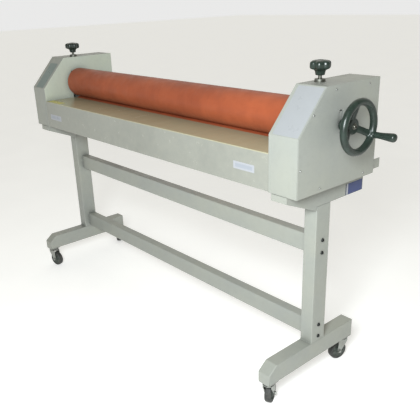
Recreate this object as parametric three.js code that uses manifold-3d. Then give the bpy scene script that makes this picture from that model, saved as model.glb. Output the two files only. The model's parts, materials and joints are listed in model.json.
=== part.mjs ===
// Cold roll laminator on a wheeled stand.
// Millimetres, +Z up, +X towards the handwheel, -Y towards the operator.
// The machine is drawn with X = 0 halfway between the side plates, Y = 0 on the
// roller axes and Z = 0 on the floor; the exported group then moves its origin
// to the middle of the overall box, on the floor.

import * as THREE from 'three';
import { mergeVertices } from 'three/addons/utils/BufferGeometryUtils.js';
import Module from 'manifold-3d';

const wasm = await Module();
wasm.setup();

// ---------------------------------------------------------------- dimensions

const GAP = 0.3; // left between pieces that touch
const RUN = 0.07; // radial clearance of a running fit

// stand
const CASTER_HEIGHT = 100;
const WALL = 3; // box-section wall
const STAND_INNER = 787; // columns and feet, distance from the middle plane
const STAND_OUTER = 840;
const COLUMN_FRONT = -47;
const COLUMN_BACK = 27;
const FOOT_FRONT = -272;
const FOOT_BACK = 205;
const FOOT_HEIGHT = 71;
const NOSE_HEIGHT = 41;
const NOSE_SLOPE = 39;
const RAIL_FRONT = -18.5;
const RAIL_BACK = 21.5;
const RAIL_HEIGHT = 69;
const LOWER_RAIL_BOTTOM = 178;
const UPPER_RAIL_BOTTOM = 515;
const RAIL_END_PLATE = 6;
const RAIL_BOLTS = [14, 61.5]; // heights above the underside of the rail
const BOLT_Y = (COLUMN_FRONT + COLUMN_BACK) / 2;
const BOLT_RADIUS = 4;
const BOLT_HEAD_RADIUS = 7;
const BOLT_HEAD = 4.4;

// head: the two end housings
const HEAD_BOTTOM = 778.5;
const HEAD_INNER = 760; // inner face of each side plate
const HEAD_OUTER = 880;
const HEAD_FRONT = -200;
const HEAD_BACK = 205;
const NOSE_TOP = 969.4; // where the sloping face starts
const TOP_FRONT = -75; // where the sloping face ends
const HEAD_TOP = 1108.3;
const SHEET = 2;
const SIDE_PLATE = 10;
const FLANGE_WIDTH = 80;
const FLANGE = 6;
const BRACKET_INNER = 774;
const BRACKET_OUTER = STAND_OUTER;
const BRACKET_BOTTOM = 708;
const BRACKET_TIP_BOTTOM = 756;
const GUSSET_BOTTOM = 693;

// rollers
const ROLLER_RADIUS = 69.8;
const ROLLER_HALF = 754;
const CORE_RADIUS = 57.7;
const CORE_WALL = 7;
const CORE_END = 15;
const NIP = 0.4;
const UPPER_AXIS = 982.5;
const LOWER_AXIS = UPPER_AXIS - 2 * ROLLER_RADIUS - NIP;
const JOURNAL_RADIUS = 15;
const JOURNAL_END = 816;
const DRIVE_RADIUS = 9;

// bearing blocks and the pressure gear
const BLOCK_INNER = 762.5;
const BLOCK_OUTER = 812;
const BLOCK_HALF = 40;
const BLOCK_BELOW = 35; // upper block, from its axis down
const SHOULDER = 776;
const BEARING_OUTER = 31;
const BEARING_WIDTH = 16;
const LIFT = 18; // travel of the upper roller
const SCREW_X = 793;
const SCREW_RADIUS = 6;
const SPRING_BOTTOM = UPPER_AXIS + BLOCK_HALF + GAP;
const SPRING_HEIGHT = 19;
const SPRING_DISCS = 4;
const COLLAR = 5;
const BRIDGE_BOTTOM = 1068;
const BOSS_TOP = 1117;
const BOSS_RADIUS = 16;
const KNOB_BOTTOM = 1128;
const KNOB_HUB_RADIUS = 17.5;
const KNOB_HUB = 18;
const KNOB_HEAD = 27;
const KNOB_LOBES = 6;
const KNOB_RADIUS = 31;

// table
const TABLE_TOP = 907.5;
const TABLE_BOTTOM = 780.5;
const TABLE_EDGE = 32.5; // distance of each table's edge from the roller axes
const APRON_LIP = 20;

// handwheel
const WHEEL_X = 949; // middle plane of the rim
const WHEEL_RADIUS = 78; // to the middle of the rim
const RIM_RADIUS = 12;
const HUB_RADIUS = 26;
const HUB_START = 885;
const HUB_END = 932;
const SPOKES = 3;
const SPOKE_WIDTH = 23;
const CRANK_ANGLE = THREE.MathUtils.degToRad(-25.5);
const PIN_RADIUS = 5;
const PIN_END = 1028;
const GRIP_START = 962;
const GRIP_END = 1036;

// casters
const CASTER_INSET = 26; // pivot to the end of the foot
const CASTER_PLATE = 50;
const PLATE_THICKNESS = 3;
const RACE_RADIUS = 22;
const RACE_HEIGHT = 8;
const WHEEL_OUTER = 37.5;
const TREAD = 24;
const TRAIL = 20; // how far the axle trails behind the swivel
const AXLE_RADIUS = 5;
const FORK_SHEET = 3;
const FORK_INNER = 14.5; // half the space between the fork's cheeks

// brackets behind the housings
const FILM_BRACKET_BOTTOM = 790;
const FILM_BRACKET_TOP = 824;
const FILM_BRACKET_BACK = 248;

// ------------------------------------------------------------------ materials

const material = (color, roughness, metalness) =>
  new THREE.MeshStandardMaterial({ color, roughness, metalness });

const paint = material(0xb4b8aa, 0.45, 0.1);
const tablePaint = material(0xb3a98f, 0.25, 0.1);
const steel = material(0x9a9c9c, 0.35, 1);
const zinc = material(0xb8bcbd, 0.4, 1);
const blackSteel = material(0x1c1e1d, 0.5, 1);
const springSteel = material(0x55585a, 0.4, 1);
const silicone = material(0xb85c38, 0.55, 0);
const blackPlastic = material(0x28332d, 0.35, 0);
const tyre = material(0x3a3e3b, 0.7, 0);

// --------------------------------------------------------------- solid helpers

// Volume of a closed mesh: negative when its faces point inwards.
function signedVolume(position, index) {
  const a = new THREE.Vector3();
  const b = new THREE.Vector3();
  const c = new THREE.Vector3();
  let volume = 0;
  for (let i = 0; i < index.length; i += 3) {
    a.fromBufferAttribute(position, index[i]);
    b.fromBufferAttribute(position, index[i + 1]);
    c.fromBufferAttribute(position, index[i + 2]);
    volume += a.dot(b.cross(c)) / 6;
  }
  return volume;
}

// A closed three.js geometry as a solid that can be joined and cut.
function solid(geometry) {
  geometry.deleteAttribute('normal');
  geometry.deleteAttribute('uv');
  const merged = mergeVertices(geometry, 1e-3);
  const triVerts = Uint32Array.from(merged.index.array);
  if (signedVolume(merged.attributes.position, triVerts) < 0) triVerts.reverse();
  const vertProperties = Float32Array.from(merged.attributes.position.array);
  return new wasm.Manifold(new wasm.Mesh({ numProp: 3, vertProperties, triVerts }));
}

function geometryOf(manifold) {
  const mesh = manifold.getMesh();
  const geometry = new THREE.BufferGeometry();
  geometry.setAttribute('position', new THREE.BufferAttribute(mesh.vertProperties, 3));
  geometry.setIndex(new THREE.BufferAttribute(mesh.triVerts, 1));
  geometry.computeVertexNormals();
  return geometry;
}

const X = new THREE.Vector3(1, 0, 0);
const Y = new THREE.Vector3(0, 1, 0);
const Z = new THREE.Vector3(0, 0, 1);
const PROFILE_YZ = new THREE.Matrix4().makeBasis(Y, Z, X); // a flat drawing, extruded along X
const LATHE_X = new THREE.Matrix4().makeBasis(Z, X, Y); // a lathe profile, turned about X
const LATHE_Z = new THREE.Matrix4().makeBasis(Y, Z, X); // a lathe profile, turned about Z

function box([x0, x1], [y0, y1], [z0, z1]) {
  const geometry = new THREE.BoxGeometry(Math.abs(x1 - x0), Math.abs(y1 - y0), Math.abs(z1 - z0));
  geometry.translate((x0 + x1) / 2, (y0 + y1) / 2, (z0 + z1) / 2);
  return solid(geometry);
}

function cylinder(axis, radius, [start, end], [u, v], segments = 32) {
  const length = Math.abs(end - start);
  const geometry = new THREE.CylinderGeometry(radius, radius, length, segments);
  geometry.applyMatrix4(axis === X ? LATHE_X : LATHE_Z);
  const middle = (start + end) / 2;
  if (axis === X) geometry.translate(middle, u, v);
  else geometry.translate(u, v, middle);
  return solid(geometry);
}

// A turned piece about X: profile points are [radius, x].
function turnedX(profile, [y, z], segments = 32, start = 0) {
  const points = profile.map(([r, x]) => new THREE.Vector2(r, x));
  const geometry = new THREE.LatheGeometry(points, segments, start);
  geometry.applyMatrix4(LATHE_X);
  geometry.translate(0, y, z);
  return solid(geometry);
}

// A turned piece about Z: profile points are [radius, z].
function turnedZ(profile, [x, y], segments = 32) {
  const points = profile.map(([r, z]) => new THREE.Vector2(r, z));
  const geometry = new THREE.LatheGeometry(points, segments);
  geometry.applyMatrix4(LATHE_Z);
  geometry.translate(x, y, 0);
  return solid(geometry);
}

// An outline of [y, z] points extruded from x0 to x1.
function extruded(outline, [x0, x1]) {
  const shape = new THREE.Shape(outline.map(([y, z]) => new THREE.Vector2(y, z)));
  const depth = Math.abs(x1 - x0);
  const geometry = new THREE.ExtrudeGeometry(shape, { depth, bevelEnabled: false });
  geometry.applyMatrix4(PROFILE_YZ);
  geometry.translate(Math.min(x0, x1), 0, 0);
  return solid(geometry);
}

// The corner radius that keeps a faceted bore's flats clear of the shaft in it.
const boreRadius = (shaft, segments = 32) => (shaft + RUN) / Math.cos(Math.PI / segments);

const model = new THREE.Group();

function place(name, manifold, look) {
  const mesh = new THREE.Mesh(geometryOf(manifold), look);
  mesh.name = name;
  model.add(mesh);
}

// Left is -1 and right is +1; a span is given by its distances from the middle plane.
const SIDES = [['left', -1], ['right', 1]];
const across = (side, near, far) => [side * near, side * far];

// ---------------------------------------------------------------------- stand

const footBottom = CASTER_HEIGHT + GAP;
const footTop = footBottom + FOOT_HEIGHT;

// A box-section foot with a bevelled nose, open underneath between its casters.
function foot(side) {
  const outline = [
    [FOOT_FRONT, footBottom],
    [FOOT_BACK, footBottom],
    [FOOT_BACK, footTop],
    [FOOT_FRONT + NOSE_SLOPE, footTop],
    [FOOT_FRONT, footBottom + NOSE_HEIGHT],
  ];
  const cavity = [
    [FOOT_FRONT + WALL, footBottom + WALL],
    [FOOT_BACK - WALL, footBottom + WALL],
    [FOOT_BACK - WALL, footTop - WALL],
    [FOOT_FRONT + NOSE_SLOPE + WALL / 2, footTop - WALL],
    [FOOT_FRONT + WALL, footBottom + NOSE_HEIGHT - WALL / 2],
  ];
  const body = extruded(outline, across(side, STAND_INNER, STAND_OUTER));
  const inside = across(side, STAND_INNER + WALL, STAND_OUTER - WALL);
  const underside = box(inside, [-160, 95], [footBottom - 1, footBottom + WALL + 1]);
  return body.subtract(extruded(cavity, inside)).subtract(underside);
}

function column(side) {
  const z = [footTop + GAP, BRACKET_BOTTOM - GAP];
  const body = box(across(side, STAND_INNER, STAND_OUTER), [COLUMN_FRONT, COLUMN_BACK], z);
  let tube = body.subtract(
    box(
      across(side, STAND_INNER + WALL, STAND_OUTER - WALL),
      [COLUMN_FRONT + WALL, COLUMN_BACK - WALL],
      [z[0] - 1, z[1] + 1],
    ),
  );
  for (const height of boltHeights()) {
    const hole = across(side, STAND_INNER - 1, STAND_OUTER + 1);
    tube = tube.subtract(cylinder(X, BOLT_RADIUS + GAP, hole, [BOLT_Y, height], 12));
  }
  return tube;
}

function boltHeights() {
  return [LOWER_RAIL_BOTTOM, UPPER_RAIL_BOTTOM].flatMap((bottom) =>
    RAIL_BOLTS.map((height) => bottom + height),
  );
}

// A rail of box section whose end plates take the bolts.
function rail(bottom) {
  const half = STAND_INNER - GAP;
  const wall = WALL;
  const body = box([-half, half], [RAIL_FRONT, RAIL_BACK], [bottom, bottom + RAIL_HEIGHT]);
  const inner = half - RAIL_END_PLATE;
  let tube = body.subtract(
    box(
      [-inner, inner],
      [RAIL_FRONT + wall, RAIL_BACK - wall],
      [bottom + wall, bottom + RAIL_HEIGHT - wall],
    ),
  );
  for (const height of RAIL_BOLTS) {
    for (const [, side] of SIDES) {
      const hole = across(side, inner - 1, half + 1);
      tube = tube.subtract(cylinder(X, BOLT_RADIUS + GAP, hole, [BOLT_Y, bottom + height], 12));
    }
  }
  return tube;
}

// A button-head bolt, from the outside of the column into the rail.
function railBolt(side, height) {
  const face = STAND_OUTER + GAP;
  const centre = [BOLT_Y, height];
  const shank = cylinder(X, BOLT_RADIUS, across(side, STAND_INNER - 16, face + 1), centre, 12);
  const head = cylinder(X, BOLT_HEAD_RADIUS, across(side, face, face + BOLT_HEAD), centre, 16);
  const socket = cylinder(X, 2.9, across(side, face + 2, face + BOLT_HEAD + 1), centre, 6);
  return shank.add(head).subtract(socket);
}

// The folded channel that carries a housing on its column, deepest at the column.
function headBracket(side) {
  const top = HEAD_BOTTOM - GAP;
  const outline = [
    [HEAD_FRONT - 2, BRACKET_TIP_BOTTOM],
    [COLUMN_FRONT - 1, GUSSET_BOTTOM],
    [COLUMN_FRONT - 1, BRACKET_BOTTOM],
    [HEAD_BACK + 3, BRACKET_BOTTOM],
    [HEAD_BACK + 3, top],
    [HEAD_FRONT - 2, top],
  ];
  const cavity = [
    [HEAD_FRONT - 2 + WALL, BRACKET_TIP_BOTTOM + WALL],
    [COLUMN_FRONT - 1 - WALL, GUSSET_BOTTOM + 1.5 * WALL],
    [COLUMN_FRONT - 1 - WALL, BRACKET_BOTTOM + WALL],
    [HEAD_BACK + 3 - WALL, BRACKET_BOTTOM + WALL],
    [HEAD_BACK + 3 - WALL, top + 1],
    [HEAD_FRONT - 2 + WALL, top + 1],
  ];
  const body = extruded(outline, across(side, BRACKET_INNER, BRACKET_OUTER));
  return body.subtract(
    extruded(cavity, across(side, BRACKET_INNER + WALL, BRACKET_OUTER - WALL)),
  );
}

function addStand() {
  for (const [word, side] of SIDES) {
    place(`foot_${word}`, foot(side), paint);
    place(`column_${word}`, column(side), paint);
    place(`head_bracket_${word}`, headBracket(side), paint);
    boltHeights().forEach((height, i) => {
      place(`rail_bolt_${word}_${i + 1}`, railBolt(side, height), blackSteel);
    });
  }
  place('rail_lower', rail(LOWER_RAIL_BOTTOM), paint);
  place('rail_upper', rail(UPPER_RAIL_BOTTOM), paint);
}

// -------------------------------------------------------------------- casters

// Each caster stands turned about its pivot by the angle at which it was left,
// measured from +Y towards -X: the direction in which its wheel trails.
const CASTERS = [
  ['front_left', -1, FOOT_FRONT + CASTER_INSET, -78],
  ['front_right', 1, FOOT_FRONT + CASTER_INSET, 26],
  ['rear_left', -1, FOOT_BACK - CASTER_INSET, 50],
  ['rear_right', 1, FOOT_BACK - CASTER_INSET, 165],
];

const casterPlateBottom = CASTER_HEIGHT - PLATE_THICKNESS;
const raceBottom = casterPlateBottom - RACE_HEIGHT;
const forkTop = raceBottom - GAP;
const axleHeight = WHEEL_OUTER * Math.cos(Math.PI / 24);

function casterPlate(x, y) {
  const half = CASTER_PLATE / 2;
  const z = [casterPlateBottom, CASTER_HEIGHT];
  const plate = box([x - half, x + half], [y - half, y + half], z);
  const race = turnedZ(
    [
      [0, raceBottom],
      [RACE_RADIUS - 3, raceBottom],
      [RACE_RADIUS, raceBottom + 3],
      [RACE_RADIUS, casterPlateBottom + 1],
      [0, casterPlateBottom + 1],
    ],
    [x, y],
    24,
  );
  const kingpin = cylinder(Z, 5, [forkTop - FORK_SHEET - 4, raceBottom + 1], [x, y], 16);
  return plate.add(race).add(kingpin);
}

// A fork drawn with its wheel trailing towards +Y, about the pivot at (0, 0).
function fork() {
  const top = cylinder(Z, RACE_RADIUS, [forkTop - FORK_SHEET, forkTop], [0, 0], 20);
  const web = box([-16, 16], [-6, TRAIL], [forkTop - FORK_SHEET, forkTop]);
  const cheek = [
    [-16, forkTop],
    [TRAIL + 4, forkTop],
    [TRAIL + 9, axleHeight + 6],
    [TRAIL + 6, axleHeight - 8],
    [TRAIL - 6, axleHeight - 8],
    [TRAIL - 11, axleHeight + 4],
    [-16, forkTop - 12],
  ];
  let body = top.add(web);
  for (const side of [-1, 1]) {
    const cheekX = across(side, FORK_INNER, FORK_INNER + FORK_SHEET);
    body = body.add(extruded(cheek, cheekX));
  }
  const axle = cylinder(X, AXLE_RADIUS, [-FORK_INNER - 6, FORK_INNER + 6], [TRAIL, axleHeight], 16);
  const pinHole = cylinder(Z, boreRadius(5, 16), [forkTop - 20, forkTop + 1], [0, 0], 16);
  return body.subtract(pinHole).add(axle);
}

// A plain-bearing wheel with a crowned tread, a flat of its rim resting on the floor.
function casterWheel() {
  const half = TREAD / 2;
  const bore = boreRadius(AXLE_RADIUS, 24);
  const profile = [
    [bore, -half - 1],
    [11, -half - 1],
    [11, -half + 3],
    [WHEEL_OUTER - 8, -half + 3],
    [WHEEL_OUTER - 7, -half],
    [WHEEL_OUTER, -half + 4],
    [WHEEL_OUTER, half - 4],
    [WHEEL_OUTER - 7, half],
    [WHEEL_OUTER - 8, half - 3],
    [11, half - 3],
    [11, half + 1],
    [bore, half + 1],
    [bore, -half - 1],
  ];
  return turnedX(profile, [TRAIL, axleHeight], 24, Math.PI / 24);
}

function addCasters() {
  const x = (STAND_INNER + STAND_OUTER) / 2;
  for (const [word, side, y, turn] of CASTERS) {
    const at = (piece) => piece.rotate([0, 0, turn]).translate([side * x, y, 0]);
    place(`caster_plate_${word}`, casterPlate(side * x, y), zinc);
    place(`caster_fork_${word}`, at(fork()), zinc);
    place(`caster_wheel_${word}`, at(casterWheel()), tyre);
  }
}

// ----------------------------------------------------------------------- head

// The housing's outline seen along X, optionally pulled in by a wall thickness.
function headOutline(inset = 0) {
  const slope = Math.atan2(HEAD_TOP - NOSE_TOP, TOP_FRONT - HEAD_FRONT);
  const noseDrop = inset * Math.tan((Math.PI / 2 - slope) / 2);
  const topShift = inset * Math.tan(slope / 2);
  return [
    [HEAD_FRONT + inset, HEAD_BOTTOM],
    [HEAD_BACK - inset, HEAD_BOTTOM],
    [HEAD_BACK - inset, HEAD_TOP - inset],
    [TOP_FRONT + topShift, HEAD_TOP - inset],
    [HEAD_FRONT + inset, NOSE_TOP - noseDrop],
  ];
}

const blockTop = UPPER_AXIS + BLOCK_HALF;

// The load-bearing plate inside each housing, with the window for the bearing
// blocks and a foot flange that rests on the bracket.
function sidePlate(side) {
  const plate = extruded(headOutline(), across(side, HEAD_INNER, HEAD_INNER + SIDE_PLATE));
  const flange = box(
    across(side, HEAD_INNER + 1, HEAD_INNER + FLANGE_WIDTH),
    [HEAD_FRONT + SHEET + GAP, HEAD_BACK - SHEET - GAP],
    [HEAD_BOTTOM, HEAD_BOTTOM + FLANGE],
  );
  const window = box(
    across(side, HEAD_INNER - 1, HEAD_INNER + SIDE_PLATE + 1),
    [-BLOCK_HALF - GAP, BLOCK_HALF + GAP],
    [LOWER_AXIS - BLOCK_HALF - GAP, blockTop + LIFT + GAP],
  );
  return plate.add(flange).subtract(window);
}

// The bent sheet over the front, slope, top and back of a housing.
function shroud(side) {
  const x = across(side, HEAD_INNER + SIDE_PLATE + GAP, HEAD_OUTER - SHEET - GAP);
  const cut = across(side, HEAD_INNER, HEAD_OUTER);
  const inner = headOutline(SHEET);
  inner[0][1] -= 1;
  inner[1][1] -= 1;
  const bossHole = cylinder(
    Z, BOSS_RADIUS + 1, [HEAD_TOP - SHEET - 1, HEAD_TOP + 1], [side * SCREW_X, 0], 24,
  );
  return extruded(headOutline(), x).subtract(extruded(inner, cut)).subtract(bossHole);
}

// The flat cover; the right-hand one has the slot in which the drive shaft lifts.
function sideCover(side) {
  const x = across(side, HEAD_OUTER - SHEET, HEAD_OUTER);
  const cover = extruded(headOutline(), x);
  if (side < 0) return cover;
  const through = [HEAD_OUTER - SHEET - 1, HEAD_OUTER + 1];
  const slotRadius = DRIVE_RADIUS + 1.5;
  const slotTop = UPPER_AXIS + 2 * LIFT;
  const low = cylinder(X, slotRadius, through, [0, UPPER_AXIS - 2], 24);
  const high = cylinder(X, slotRadius, through, [0, slotTop], 24);
  const middle = box(through, [-slotRadius, slotRadius], [UPPER_AXIS - 2, slotTop]);
  return cover.subtract(low.add(high).add(middle));
}

// A table sheet with its apron and the apron's lip; facing is -1 at the front.
function table(facing) {
  const half = HEAD_INNER - GAP;
  const edge = facing < 0 ? -HEAD_FRONT : HEAD_BACK;
  const points = [
    [TABLE_EDGE, TABLE_TOP],
    [edge, TABLE_TOP],
    [edge, TABLE_BOTTOM],
    [edge - APRON_LIP, TABLE_BOTTOM],
    [edge - APRON_LIP, TABLE_BOTTOM + SHEET],
    [edge - SHEET, TABLE_BOTTOM + SHEET],
    [edge - SHEET, TABLE_TOP - SHEET],
    [TABLE_EDGE, TABLE_TOP - SHEET],
  ];
  return extruded(points.map(([y, z]) => [facing * y, z]), [-half, half]);
}

// The threaded bridge over each bearing block, its boss standing out of the housing.
function screwBridge(side) {
  const x = across(side, HEAD_INNER + SIDE_PLATE + GAP, SCREW_X + 26);
  const z = [BRIDGE_BOTTOM, HEAD_TOP - SHEET - GAP];
  const body = box(x, [-BLOCK_HALF, BLOCK_HALF], z);
  const boss = turnedZ(
    [
      [0, z[1] - 1],
      [BOSS_RADIUS, z[1] - 1],
      [BOSS_RADIUS, BOSS_TOP - 1.5],
      [BOSS_RADIUS - 1.5, BOSS_TOP],
      [0, BOSS_TOP],
    ],
    [side * SCREW_X, 0],
    24,
  );
  const thread = cylinder(
    Z, boreRadius(SCREW_RADIUS, 24), [BRIDGE_BOTTOM - 1, BOSS_TOP + 1], [side * SCREW_X, 0], 24,
  );
  return body.add(boss).subtract(thread);
}

// The folded bracket that stands out behind each housing.
function filmBracket(side) {
  const flangeBack = HEAD_BACK + GAP + SHEET;
  const z = [FILM_BRACKET_BOTTOM, FILM_BRACKET_TOP];
  const plate = box(
    across(side, HEAD_OUTER - 8, HEAD_OUTER - 5), [HEAD_BACK + GAP, FILM_BRACKET_BACK], z,
  );
  const flange = box(across(side, HEAD_OUTER - 34, HEAD_OUTER - 6), [HEAD_BACK + GAP, flangeBack], z);
  return plate.add(flange);
}

function addHead() {
  for (const [word, side] of SIDES) {
    place(`side_plate_${word}`, sidePlate(side), paint);
    place(`shroud_${word}`, shroud(side), paint);
    place(`side_cover_${word}`, sideCover(side), paint);
    place(`screw_bridge_${word}`, screwBridge(side), steel);
    place(`film_bracket_${word}`, filmBracket(side), paint);
  }
  place('table_front', table(-1), tablePaint);
  place('table_rear', table(1), tablePaint);
}

// ----------------------------------------------------- bearing blocks and screws

function bearingBlock(side, axis, bottom) {
  const body = box(
    across(side, BLOCK_INNER, BLOCK_OUTER), [-BLOCK_HALF, BLOCK_HALF], [bottom, axis + BLOCK_HALF],
  );
  const seat = cylinder(X, BEARING_OUTER + GAP, across(side, SHOULDER, BLOCK_OUTER + 1), [0, axis]);
  const throat = cylinder(X, 20, across(side, BLOCK_INNER - 1, SHOULDER + 1), [0, axis]);
  return body.subtract(seat).subtract(throat);
}

function upperBlock(side) {
  const block = bearingBlock(side, UPPER_AXIS, UPPER_AXIS - BLOCK_BELOW);
  const socket = cylinder(
    Z, boreRadius(SCREW_RADIUS, 24), [blockTop - 6, blockTop + 1], [side * SCREW_X, 0], 24,
  );
  return block.subtract(socket);
}

function bearing(side, axis) {
  const width = across(side, SHOULDER + GAP, SHOULDER + GAP + BEARING_WIDTH);
  const ring = cylinder(X, BEARING_OUTER, width, [0, axis]);
  const bore = cylinder(
    X, boreRadius(JOURNAL_RADIUS), across(side, SHOULDER - 1, SHOULDER + 20), [0, axis],
  );
  return ring.subtract(bore);
}

// A stack of disc springs, drawn as one ring with a zigzag outside.
function springStack(side) {
  const pitch = SPRING_HEIGHT / SPRING_DISCS;
  const inner = SCREW_RADIUS + 1;
  const profile = [[inner, SPRING_BOTTOM]];
  for (let i = 0; i < SPRING_DISCS; i += 1) {
    profile.push([13.5, SPRING_BOTTOM + i * pitch]);
    profile.push([11, SPRING_BOTTOM + (i + 0.5) * pitch]);
  }
  profile.push([13.5, SPRING_BOTTOM + SPRING_HEIGHT]);
  profile.push([inner, SPRING_BOTTOM + SPRING_HEIGHT], [inner, SPRING_BOTTOM]);
  return turnedZ(profile, [side * SCREW_X, 0], 16);
}

function pressureScrew(side) {
  const collar = SPRING_BOTTOM + SPRING_HEIGHT + GAP;
  const profile = [
    [0, blockTop - 5.5],
    [SCREW_RADIUS, blockTop - 5.5],
    [SCREW_RADIUS, collar],
    [13.5, collar],
    [13.5, collar + COLLAR],
    [SCREW_RADIUS, collar + COLLAR],
    [SCREW_RADIUS, KNOB_BOTTOM + KNOB_HUB],
    [0, KNOB_BOTTOM + KNOB_HUB],
  ];
  return turnedZ(profile, [side * SCREW_X, 0], 24);
}

// A star knob: a stepped hub under a lobed, rounded head.
function knob(side) {
  const hubTop = KNOB_BOTTOM + KNOB_HUB;
  const hub = turnedZ(
    [
      [0, KNOB_BOTTOM],
      [KNOB_HUB_RADIUS - 3, KNOB_BOTTOM],
      [KNOB_HUB_RADIUS, KNOB_BOTTOM + 4],
      [KNOB_HUB_RADIUS, hubTop + 1],
      [0, hubTop + 1],
    ],
    [side * SCREW_X, 0],
    24,
  );
  const bevel = 4;
  const steps = KNOB_LOBES * 6;
  const points = Array.from({ length: steps }, (unused, i) => {
    const angle = (2 * Math.PI * i) / steps;
    const radius = KNOB_RADIUS - bevel + 2 * Math.cos(KNOB_LOBES * angle);
    return new THREE.Vector2(radius * Math.cos(angle), radius * Math.sin(angle));
  });
  const head = new THREE.ExtrudeGeometry(new THREE.Shape(points), {
    depth: KNOB_HEAD - 2 * bevel,
    bevelSize: bevel,
    bevelThickness: bevel,
    bevelSegments: 1,
  });
  head.translate(side * SCREW_X, 0, hubTop + bevel);
  const crown = turnedZ(
    [
      [0, hubTop + KNOB_HEAD - 2],
      [20, hubTop + KNOB_HEAD - 2],
      [13, hubTop + KNOB_HEAD + 2],
      [0, hubTop + KNOB_HEAD + 3],
    ],
    [side * SCREW_X, 0],
    24,
  );
  const socket = cylinder(
    Z, SCREW_RADIUS + GAP, [KNOB_BOTTOM - 1, hubTop + GAP], [side * SCREW_X, 0], 24,
  );
  return hub.add(solid(head)).add(crown).subtract(socket);
}

function addPressureGear() {
  for (const [word, side] of SIDES) {
    place(`lower_block_${word}`, bearingBlock(side, LOWER_AXIS, LOWER_AXIS - BLOCK_HALF), steel);
    place(`lower_bearing_${word}`, bearing(side, LOWER_AXIS), steel);
    place(`upper_block_${word}`, upperBlock(side), steel);
    place(`upper_bearing_${word}`, bearing(side, UPPER_AXIS), steel);
    place(`pressure_spring_${word}`, springStack(side), springSteel);
    place(`pressure_screw_${word}`, pressureScrew(side), zinc);
    place(`pressure_knob_${word}`, knob(side), blackPlastic);
  }
}

// -------------------------------------------------------------------- rollers

function rollerCover(axis) {
  const profile = [
    [CORE_RADIUS + GAP, -ROLLER_HALF],
    [ROLLER_RADIUS - 2, -ROLLER_HALF],
    [ROLLER_RADIUS, -ROLLER_HALF + 2],
    [ROLLER_RADIUS, ROLLER_HALF - 2],
    [ROLLER_RADIUS - 2, ROLLER_HALF],
    [CORE_RADIUS + GAP, ROLLER_HALF],
    [CORE_RADIUS + GAP, -ROLLER_HALF],
  ];
  return turnedX(profile, [0, axis], 48);
}

// The roller's steel tube with its end discs and journals, vented at both ends.
function rollerCore(axis, shaftEnd) {
  const half = ROLLER_HALF - 1;
  const driven = shaftEnd > JOURNAL_END;
  const profile = [
    [0, -JOURNAL_END],
    [JOURNAL_RADIUS, -JOURNAL_END],
    [JOURNAL_RADIUS, -half],
    [CORE_RADIUS, -half],
    [CORE_RADIUS, half],
    [JOURNAL_RADIUS, half],
    [JOURNAL_RADIUS, JOURNAL_END],
  ];
  if (driven) profile.push([DRIVE_RADIUS, JOURNAL_END], [DRIVE_RADIUS, shaftEnd]);
  profile.push([0, driven ? shaftEnd : JOURNAL_END]);
  const cavity = cylinder(
    X, CORE_RADIUS - CORE_WALL, [-half + CORE_END, half - CORE_END], [0, axis],
  );
  const vent = cylinder(X, 6, [-half - 1, half + 1], [0, axis + 35], 12);
  return turnedX(profile, [0, axis], 32).subtract(cavity).subtract(vent);
}

// A dished three-spoke wheel, with the fixed pin that its grip turns on.
function handwheel() {
  const rim = new THREE.TorusGeometry(WHEEL_RADIUS, RIM_RADIUS, 10, 42);
  rim.applyMatrix4(PROFILE_YZ);
  rim.translate(WHEEL_X, 0, UPPER_AXIS);
  const hub = turnedX(
    [
      [0, HUB_START],
      [HUB_RADIUS - 4, HUB_START],
      [HUB_RADIUS - 4, HUB_START + 22],
      [HUB_RADIUS, HUB_START + 27],
      [HUB_RADIUS, HUB_END - 3],
      [HUB_RADIUS - 3, HUB_END],
      [0, HUB_END],
    ],
    [0, UPPER_AXIS],
    32,
  );
  const centre = [0, UPPER_AXIS];
  let wheel = solid(rim).add(hub);
  for (let i = 0; i < SPOKES; i += 1) {
    wheel = wheel.add(spoke(CRANK_ANGLE + (2 * Math.PI * i) / SPOKES));
  }
  const [y, z] = crankCentre();
  const boss = cylinder(X, 11, [WHEEL_X, GRIP_START - GAP], [y, z], 24);
  const pin = cylinder(X, PIN_RADIUS, [WHEEL_X, PIN_END], [y, z], 24);
  const bore = cylinder(X, DRIVE_RADIUS + GAP, [HUB_START - 1, HUB_END - 6], centre);
  return wheel.add(boss).add(pin).subtract(bore);
}

// One spoke, drawn along +Y from the hub to the rim and turned to its angle.
function spoke(angle) {
  const outline = new THREE.Shape();
  outline.moveTo(HUB_RADIUS - 6, HUB_END - 16);
  outline.lineTo(HUB_RADIUS - 6, HUB_END - 3);
  outline.lineTo(WHEEL_RADIUS - 2, WHEEL_X + 5);
  outline.lineTo(WHEEL_RADIUS - 2, WHEEL_X - 7);
  outline.closePath();
  const geometry = new THREE.ExtrudeGeometry(outline, { depth: SPOKE_WIDTH, bevelEnabled: false });
  geometry.translate(0, 0, -SPOKE_WIDTH / 2);
  geometry.applyMatrix4(new THREE.Matrix4().makeBasis(Y, X, Z));
  geometry.rotateX(angle);
  geometry.translate(0, 0, UPPER_AXIS);
  return solid(geometry);
}

const crankCentre = () => [
  WHEEL_RADIUS * Math.cos(CRANK_ANGLE),
  UPPER_AXIS + WHEEL_RADIUS * Math.sin(CRANK_ANGLE),
];

// The revolving grip, widest near its rounded end, with a blind bore for its pin.
function crankGrip() {
  const bore = boreRadius(PIN_RADIUS, 24);
  const boreEnd = PIN_END + 0.5;
  const profile = [
    [0, boreEnd],
    [bore, boreEnd],
    [bore, GRIP_START],
    [9.5, GRIP_START],
    [10.3, GRIP_START + 4],
    [9.6, GRIP_START + 14],
    [10.6, GRIP_START + 34],
    [12.3, GRIP_END - 18],
    [12.6, GRIP_END - 10],
    [11.2, GRIP_END - 4],
    [7.5, GRIP_END - 0.8],
    [0, GRIP_END],
  ];
  return turnedX(profile, crankCentre(), 24);
}

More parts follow.
